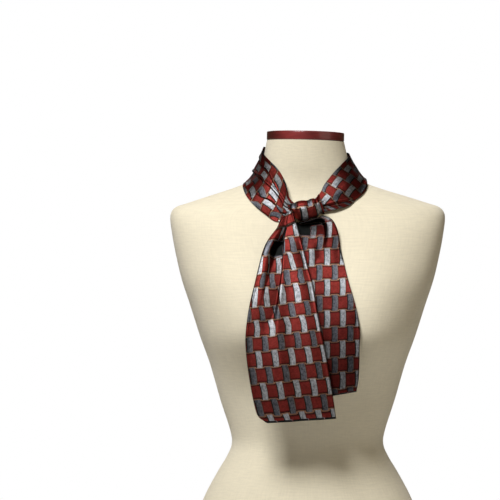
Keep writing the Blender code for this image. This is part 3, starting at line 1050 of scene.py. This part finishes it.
def settled(away, overlap):
    """Share of a fold's rise that is left at a distance past its folded edge."""
    crest, length, left = FOLD_SETTLES
    return left + (1.0 - left) * math.exp(-max(away - overlap - crest, 0.0) / length)


def layers_height(folds, distance):
    """Height of the layers that the folds leave at a distance from the low edge."""
    return sum(
        FOLD_RISE * folded * settled(distance - place, overlap)
        for place, overlap, folded, _ in folds if distance - place > -0.01)


def neck_section(along, width):
    """Path of the cloth across the neck stretch, from its hem at the neck outwards.

    Each point is a distance from the low edge and a height over the lowest layer.
    """
    least, length = FOLD_CALM
    calm = least + (1.0 - least) * rising(min(along, 1.0 - along), 0.0, length)
    folds = []
    for table, puff in NECK_FOLDS:
        place, overlap, folded = [along_line(table, along, column) for column in (1, 2, 3)]
        folds.append((place * width, overlap, folded * calm, puff * FOLD_PUFF * folded * calm))
    points = []
    start = width
    for number, (place, overlap, folded, puff) in enumerate(folds):
        below = folds[number + 1:]
        rise = FOLD_RISE * folded
        run = place + RUN_END - start
        for step in range(RUN_STEPS):
            distance = start + run * step / RUN_STEPS
            height = layers_height(below, distance) + rise * settled(distance - place, overlap)
            height += puff * RUN_PUFF * settled(distance - place, 0.0)
            points.append((distance, height))
        for share, shift, up, swell, flat in FOLD_SHAPE:
            distance = place + flat + (share * overlap + shift - flat) * folded
            points.append((distance, layers_height(below, distance) + rise * up + puff * swell))
        start = points[-1][0] - RUN_START
    last, steps = TURN_RUN
    for step in range(steps):
        points.append((start + (last - start) * step / steps, 0.0))
    turned = along_line(NECK_TURN_UNDER, along)
    for shift, height, flat in TURN_SHAPE:
        points.append((flat + (shift - flat) * turned, height * turned))
    return points


def neck_base(across, along):
    """Lowest layer of the stretch round the neck, and the way out of it."""
    row, behind, ahead = [
        row_at(NECK_LOOP, clamp(along + step)) for step in (0.0, -0.01, 0.01)]
    top = Vector(row[0:3])
    low = Vector(row[3:6])
    run = (Vector(ahead[0:3]) + Vector(ahead[3:6])) - (
        Vector(behind[0:3]) + Vector(behind[3:6]))
    outward = run.cross(low - top).normalized()
    crown = row[6] * (1.0 - (2.0 * clamp(across) - 1.0) ** 2)
    point = low + (top - low) * across + outward * crown
    return off_form(point, NECK_LIFT + CLOTH_WALL), outward


def neck_line(along):
    """Width of the stretch, the path of its grid across, and the cloth used along it."""
    row = row_at(NECK_LOOP, along)
    width = (Vector(row[0:3]) - Vector(row[3:6])).length
    path = neck_section(along, width)
    line = [row_at(path, cell / NECK_CELLS[0]) for cell in range(NECK_CELLS[0] + 1)]
    used = [0.0]
    for before, here in zip(line, line[1:]):
        used.append(used[-1] + math.hypot(here[0] - before[0], here[1] - before[1]))
    return width, line, used


def build_neck():
    across, along = NECK_CELLS
    lines = [neck_line(step / along) for step in range(along + 1)]

    def place(u, v):
        width, line, _ = lines[round(v * along)]
        distance, height = line[round((1.0 - u) * across)]
        point, outward = neck_base(distance / width, v)
        return point + outward * height

    def chart(u, v):
        width, line, used = lines[round(v * along)]
        cell = round((1.0 - u) * across)
        middle, slope, bend = NECK_SKEW
        away = line[cell][0] / width - middle
        left = falling(v, *NECK_SKEW_ENDS) * rising(v, *NECK_SKEW_STARTS)
        skew = (slope * away + bend * away * abs(away)) * left
        first, last = NECK_HEM_TO_BAR
        slip = along_line(NECK_SLIP, v) * rising(cell / across, *NECK_SLIP_GROWS)
        spare = (CLOTH_WIDTH - used[-1]) * falling(v, *NECK_GATHER_ENDS)
        gathered = used[cell] + spare * (used[cell] / used[-1]) ** 2
        return (
            first + (last - first) * v - gathered + slip,
            ROW * along_line(NECK_ROWS, v - skew))

    return cloth(
        "scarf_neck", place, chart, across, along,
        ("neck_left", "neck_back", "neck_right"), NECK_THICK, SILK_NECK_PAINTED_SHADE)


def ripple(across, depth):
    """Soft troughs and ridges that run down a tail."""
    height = 0.0
    for place, half_width, share in RIPPLES:
        height += share * bell(across - place, half_width)
    return depth * height


def tail_place(fold, along, across):
    """Place across the tail as it lies, of a place across the cloth."""
    if not fold:
        return across
    folded = along_line(FRONT_TAIL_FOLDED, along)
    return across + (value_at(fold, across, 1) - across) * folded


def hem(distance):
    """Height of the rolled hem at a distance from the edge of the cloth."""
    out = distance / HEM_HALF - 1.0
    return HEM_HIGH * max(1.0 - out * out, 0.0) - HEM_BACK * max(-out, 0.0) ** 2


def lip(from_edge, along):
    """Edge of the back tail that turns forwards over a hollow below the knot."""
    high, place, half_width = LIP_RIDGE
    ridge = high * bell(from_edge - place, half_width) * falling(along, *LIP_ENDS)
    first, more, length = HOLLOW_ENDS
    end = first + more * rising(from_edge, *HOLLOW_END_MOVES)
    hollow = rising(from_edge, *HOLLOW_WALL) * falling(along, end, length)
    return ridge - HOLLOW_DEEP * hollow


def tail_point(table, fold, across, along):
    """Outer face of a tail: across is 0 at its left edge."""
    row = row_at(table, along)
    left = Vector(row[0:3])
    right = Vector(row[3:6])
    width = (right - left).length
    from_end = TAIL_LENGTH * (1.0 - along)
    height = ripple(across, row[6]) + hem(min(across * width, (1.0 - across) * width, from_end))
    if fold:
        height += value_at(fold, across, 2) * row[7]
        edge, slant, soft, high = SHELF
        height += high * smooth_step(0.5 + (edge + slant * across - along) / soft)
    else:
        height += lip(min((1.0 - across) * width, TAIL_LENGTH * along), along)
    point = left.lerp(right, tail_place(fold, along, across))
    point.y -= height
    if fold:
        wide, long, lift, inwards = CORNER
        corner = (clamp(1.0 - across / wide) * clamp((along - 1.0) / long + 1.0)) ** 1.5
        point.z += lift * corner
        point.x += inwards * corner
    return off_form(point, TAIL_LIFT + CLOTH_WALL)


def tail_along(v, cells):
    """Place along a tail, with short cells at its lower end for the hem."""
    left = round(v * cells)
    last = len(HEM_LINES) - 1
    if left < last:
        return 1.0 - HEM_LINES[left] / TAIL_LENGTH
    return (1.0 - HEM_LINES[last] / TAIL_LENGTH) * (cells - left) / (cells - last)


def outlined(row):
    """Column of the dark outline beside a bar, in a row of the print."""
    return OUTLINE if int(row + 0.5) % 2 else OUTLINE + 0.5


def hem_painted_shade_column(v, cells, column, row):
    """The column, or in the last cells of a tail the nearest dark outline, as painted shade
    under its rolled hem.
    """
    if round(v * cells) < len(HEM_LINES) - 1:
        return round(column - OUTLINE) + outlined(row)
    return column


def front_place(u, v):
    return tail_point(FRONT_TAIL, FRONT_TAIL_FOLD, u, tail_along(v, FRONT_TAIL_CELLS[1]))


def front_column(row, place):
    """Column of the print at a place across the front tail as it lies."""
    for low, high in zip(FRONT_TAIL_COLUMNS, FRONT_TAIL_COLUMNS[1:]):
        if row <= high[0]:
            break
    first = along_line(low[1], place)
    last = along_line(high[1], place)
    return first + (last - first) * clamp((row - low[0]) / (high[0] - low[0]))


def front_chart(u, v):
    along = tail_along(v, FRONT_TAIL_CELLS[1])
    here = row_at(FRONT_TAIL, along)
    first, last = [along_line(FRONT_TAIL_ROWS, along, column) for column in (1, 2)]
    sag = -value_at(FRONT_TAIL_FOLD, u, 2) * clamp(here[7] / VALLEY_DEEP)
    row = first + (last - first) * u + ROW_SAG * max(sag, 0.0)
    column = front_column(row, tail_place(FRONT_TAIL_FOLD, along, u))
    return PITCH * hem_painted_shade_column(v, FRONT_TAIL_CELLS[1], column, row), ROW * row


def back_place(u, v):
    return tail_point(BACK_TAIL, None, u, tail_along(v, BACK_TAIL_CELLS[1]))


def back_chart(u, v):
    along = tail_along(v, BACK_TAIL_CELLS[1])
    row = along_line(BACK_TAIL_ROWS, along)
    here = row_at(BACK_TAIL, along)
    width = here[3] - here[0]
    x = here[0] + width * u
    column = (x - along_line(BACK_TAIL_LINE, row)) / BACK_TAIL_PITCH
    from_edge = min((1.0 - u) * width, TAIL_LENGTH * along)
    turned = falling(from_edge, *LIP_WIDTH) * falling(along, *LIP_PRINT_ENDS)
    bar_column, bar_in = LIP_BAR
    lip_column = bar_column + (from_edge - bar_in) / PITCH
    bar_row, row_beside, share = LIP_ROWS
    lip_row = bar_row + (row - row_beside) * share
    # Below the knot, away from the lip, the hollow is painted shadow: the dark outline's
    # colour, or rows moved on into painted shade
    if turned < 0.5:
        if any(row > low_row and x < low_end for low_row, low_end in HOLLOW_PAINTED_SHADOW):
            return PITCH * outlined(row), ROW * row
        low_row, low_end, moved = HOLLOW_PAINTED_SHADE
        if row > low_row and x < low_end:
            row += moved
    column = hem_painted_shade_column(v, BACK_TAIL_CELLS[1], column, row)
    return (
        PITCH * (column + (lip_column - column) * turned),
        ROW * (row + (lip_row - row) * turned))


def build_tails():
    return (
        cloth(
            "scarf_front_tail", front_place, front_chart, *FRONT_TAIL_CELLS,
            ("front_tail",)),
        cloth(
            "scarf_back_tail", back_place, back_chart, *BACK_TAIL_CELLS, ("back_tail",),
            finish=SILK_BACK_PAINTED_SHADE),
    )


def knot_point(part, turn, inset):
    """Point on the knot: turn 0 faces the viewer, and turns upwards from there."""
    x, y, z, radius, lean = row_at(KNOT_BARREL, part)
    for place, half_width, depth in KNOT_CREASES:
        radius -= depth * bell(part - place, half_width)
    radius = max(radius - inset, KNOT_LEAST_RADIUS)
    rise = radius * math.sin(turn)
    return Vector((x - lean * rise, y - radius * math.cos(turn), z + rise))


def build_knot():
    around = KNOT_TURN_TO - KNOT_TURN_FROM
    first, last = KNOT_ROLL_ENDS

    def band(u, v):
        return knot_point(u, KNOT_TURN_FROM + around * v, 0.0)

    def band_chart(u, v):
        row, middle, one_row = KNOT_ROW
        row += (KNOT_TURN_FROM + around * v - middle) / one_row
        return PITCH * along_line(KNOT_COLUMNS, u), ROW * row

    def roll(u, v):
        inset = CLOTH_WALL + KNOT_ROLL_GAP + KNOT_ROLL_DEEP * (1.0 - v)
        turn = KNOT_TURN_FROM + 2.0 * math.pi * KNOT_ROLL_TURNS * v
        return knot_point(first + (last - first) * u, turn, inset)

    def roll_chart(u, v):
        start, width, length = KNOT_ROLL_CHART
        return start + width * u, length * v

    return [
        cloth("knot_wrap", band, band_chart, *KNOT_BAND_CELLS, ("knot_band",)),
        cloth("knot_roll", roll, roll_chart, *KNOT_ROLL_CELLS, ("knot_core",)),
    ]


# Room, lights and camera

LIGHT_AIM = Vector((-0.05, 0.0, 0.58))
LIGHT_DISTANCE = 3.0
LIGHTS = (
    # name, turn to the viewer's left of the front, lift, size, power, colour
    ("key", 24.0, 48.0, 1.0, 100.0, (0.985, 1.0, 1.045)),
    ("fill", -60.0, 12.0, 2.0, 8.5, (1.0, 0.92, 0.77)),
    ("back", 180.0, 35.0, 2.0, 30.0, (1.0, 1.0, 1.0)),
)
ROOM_GLOW = (0.065, 0.050, 0.029, 1.0)
BACKDROP = (1.0, 1.0, 1.0, 1.0)
FLOOR_RADIUS = 1.6
FLOOR_GREYS = (0.56, 0.60)
CAMERA_PLACE = (-0.08625, -4.0, 0.632)
CAMERA_LENS = 192.0
CAMERA_SENSOR = 36.0


def build_stage():
    shape = bmesh.new()
    bmesh.ops.create_circle(shape, cap_ends=True, segments=96, radius=FLOOR_RADIUS)
    mesh = bpy.data.meshes.new("studio_floor")
    shape.to_mesh(mesh)
    shape.free()
    floor = add_object("studio_floor", mesh)
    finish = Finish("floor_paint", Roughness=0.9)
    dark, light = [rgb(grey, grey, grey) for grey in FLOOR_GREYS]
    patches = finish.noise(finish.object_place(), 3.0)
    finish.give("Base Color", finish.mix(patches, dark, light))
    mesh.materials.append(finish.material)


def add_light(name, turn, lift, size, power, colour):
    lamp = bpy.data.lights.new(name, "AREA")
    lamp.shape = "SQUARE"
    lamp.size = size
    lamp.energy = power
    lamp.color = colour
    made = add_object(name, lamp)
    turn = math.radians(turn)
    flat = LIGHT_DISTANCE * math.cos(math.radians(lift))
    place = LIGHT_AIM + Vector((
        -flat * math.sin(turn), -flat * math.cos(turn),
        LIGHT_DISTANCE * math.sin(math.radians(lift))))
    made.location = place
    made.rotation_euler = (LIGHT_AIM - place).to_track_quat("-Z", "Y").to_euler()


def build_light():
    for light in LIGHTS:
        add_light(*light)
    world = bpy.data.worlds.new("studio")
    world.use_nodes = True
    bpy.context.scene.world = world
    tree = world.node_tree
    path = tree.nodes.new("ShaderNodeLightPath")
    seen = tree.nodes.new("ShaderNodeMix")
    seen.data_type = "RGBA"
    seen.inputs[6].default_value = ROOM_GLOW
    seen.inputs[7].default_value = BACKDROP
    tree.links.new(path.outputs["Is Camera Ray"], seen.inputs[0])
    tree.links.new(seen.outputs[2], tree.nodes["Background"].inputs["Color"])


def build_camera():
    lens = bpy.data.cameras.new("camera")
    lens.sensor_width = CAMERA_SENSOR
    lens.lens = CAMERA_LENS
    made = add_object("camera", lens)
    made.location = CAMERA_PLACE
    made.rotation_euler = (math.pi / 2.0, 0.0, 0.0)
    bpy.context.scene.camera = made
    bpy.context.scene.view_settings.view_transform = "Standard"


build_camera()
build_form()
build_cap()
neck = build_neck()
front_tail, back_tail = build_tails()
knot_wrap, knot_roll = build_knot()
build_stage()
build_light()
